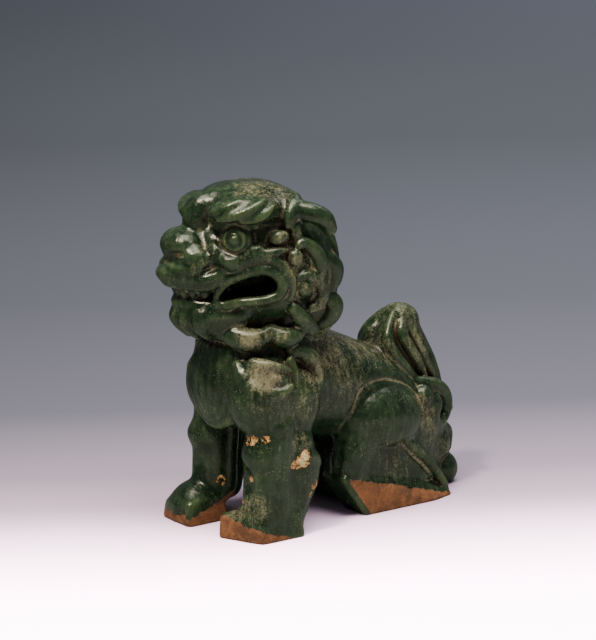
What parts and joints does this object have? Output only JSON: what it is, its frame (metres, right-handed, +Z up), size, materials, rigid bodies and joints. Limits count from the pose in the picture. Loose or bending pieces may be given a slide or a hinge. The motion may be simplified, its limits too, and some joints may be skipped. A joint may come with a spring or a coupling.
{
  "type": "foo dog statue",
  "caption": "Seated guardian lion figure in green-glazed earthenware, head turned, mouth open, flame-shaped tail, hollow body that rests on its paws and base.",
  "frame": {"origin": "centre of the bounding box in plan, on the ground plane under the lion", "axes": "+Z up, -Y the way the body faces, +X the lion's left side"},
  "size_m": [0.0756, 0.173, 0.1654],
  "materials": {
    "green_glaze": "glossy dark green lead glaze, thin and olive on ridges, pooled dark in recesses",
    "bare_clay": "unglazed orange-brown earthenware, matt and gritty"
  },
  "bodies": {
    "root": {"head_shell": "green_glaze", "nape_mane": "green_glaze", "crown": "green_glaze", "left_eyelid": "green_glaze", "right_eyelid": "green_glaze", "left_eyeball": "green_glaze", "right_eyeball": "green_glaze", "left_brow": "green_glaze", "right_brow": "green_glaze", "nose": "green_glaze", "upper_lip": "green_glaze", "left_mouth_rim": "green_glaze", "right_mouth_rim": "green_glaze", "upper_teeth": "green_glaze", "lower_jaw": "green_glaze", "tongue": "green_glaze", "left_ear": "green_glaze", "right_ear": "green_glaze", "left_ear_lock": "green_glaze", "right_ear_lock": "green_glaze", "left_cheek_bead": "green_glaze", "right_cheek_bead": "green_glaze", "left_mane_curl_1": "green_glaze", "right_mane_curl_1": "green_glaze", "left_mane_curl_2": "green_glaze", "right_mane_curl_2": "green_glaze", "left_mane_curl_3": "green_glaze", "right_mane_curl_3": "green_glaze", "left_mane_curl_4": "green_glaze", "right_mane_curl_4": "green_glaze", "left_mane_curl_5": "green_glaze", "right_mane_curl_5": "green_glaze", "left_beard_lobe_1": "green_glaze", "right_beard_lobe_1": "green_glaze", "left_beard_lobe_2": "green_glaze", "right_beard_lobe_2": "green_glaze", "torso_shell": "green_glaze", "left_forepaw": "bare_clay", "left_foreleg": "green_glaze", "left_hind_foot": "bare_clay", "left_haunch": "green_glaze", "right_forepaw": "bare_clay", "right_foreleg": "green_glaze", "right_hind_foot": "bare_clay", "right_haunch": "green_glaze", "left_elbow_tuft": "green_glaze", "right_elbow_tuft": "green_glaze", "left_shoulder_tuft": "green_glaze", "right_shoulder_tuft": "green_glaze", "left_shoulder_lock": "green_glaze", "right_shoulder_lock": "green_glaze", "chest_plate": "green_glaze", "tail_middle": "green_glaze", "left_tail_plume": "green_glaze", "right_tail_plume": "green_glaze", "left_tail_upper_curl": "green_glaze", "right_tail_upper_curl": "green_glaze", "tail_knob": "green_glaze", "left_tail_lower_curl": "green_glaze", "right_tail_lower_curl": "green_glaze"}
  },
  "joints": []
}
